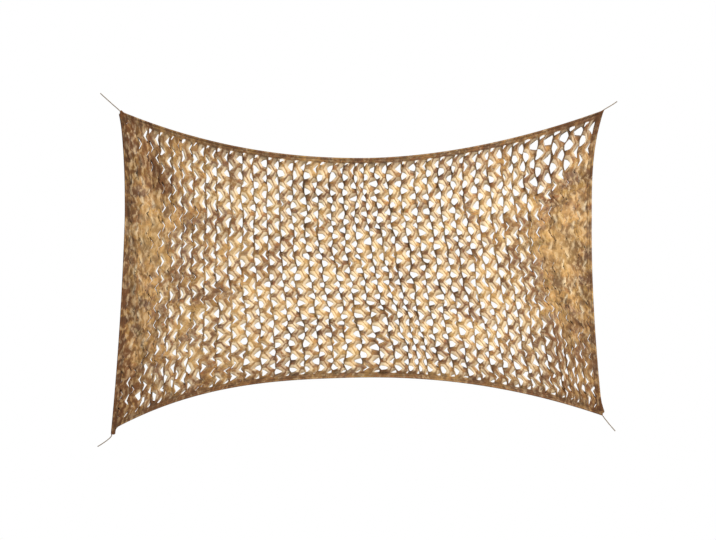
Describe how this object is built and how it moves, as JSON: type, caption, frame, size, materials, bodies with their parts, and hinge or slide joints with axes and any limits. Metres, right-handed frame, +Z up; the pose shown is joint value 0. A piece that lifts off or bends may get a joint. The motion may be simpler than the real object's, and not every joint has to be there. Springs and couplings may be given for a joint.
{
  "type": "camouflage netting",
  "caption": "Rectangular camouflage net of one cut cloth with rows of three-cornered gaps, hemmed over a rope on its four sides and stretched from a cord at each corner.",
  "frame": {"origin": "middle of the top edge, in the plane of the net's corners", "axes": "+X along the net's length, +Y from its front to its back, +Z up"},
  "size_m": [3.1513, 0.0549, 2.1458],
  "materials": {
    "net_cloth": "matt printed synthetic cloth",
    "cord_fibre": "matt twisted fibre"
  },
  "bodies": {
    "root": {"net": "net_cloth", "cord_top_left": "cord_fibre", "cord_top_right": "cord_fibre", "cord_bottom_left": "cord_fibre", "cord_bottom_right": "cord_fibre"}
  },
  "joints": []
}
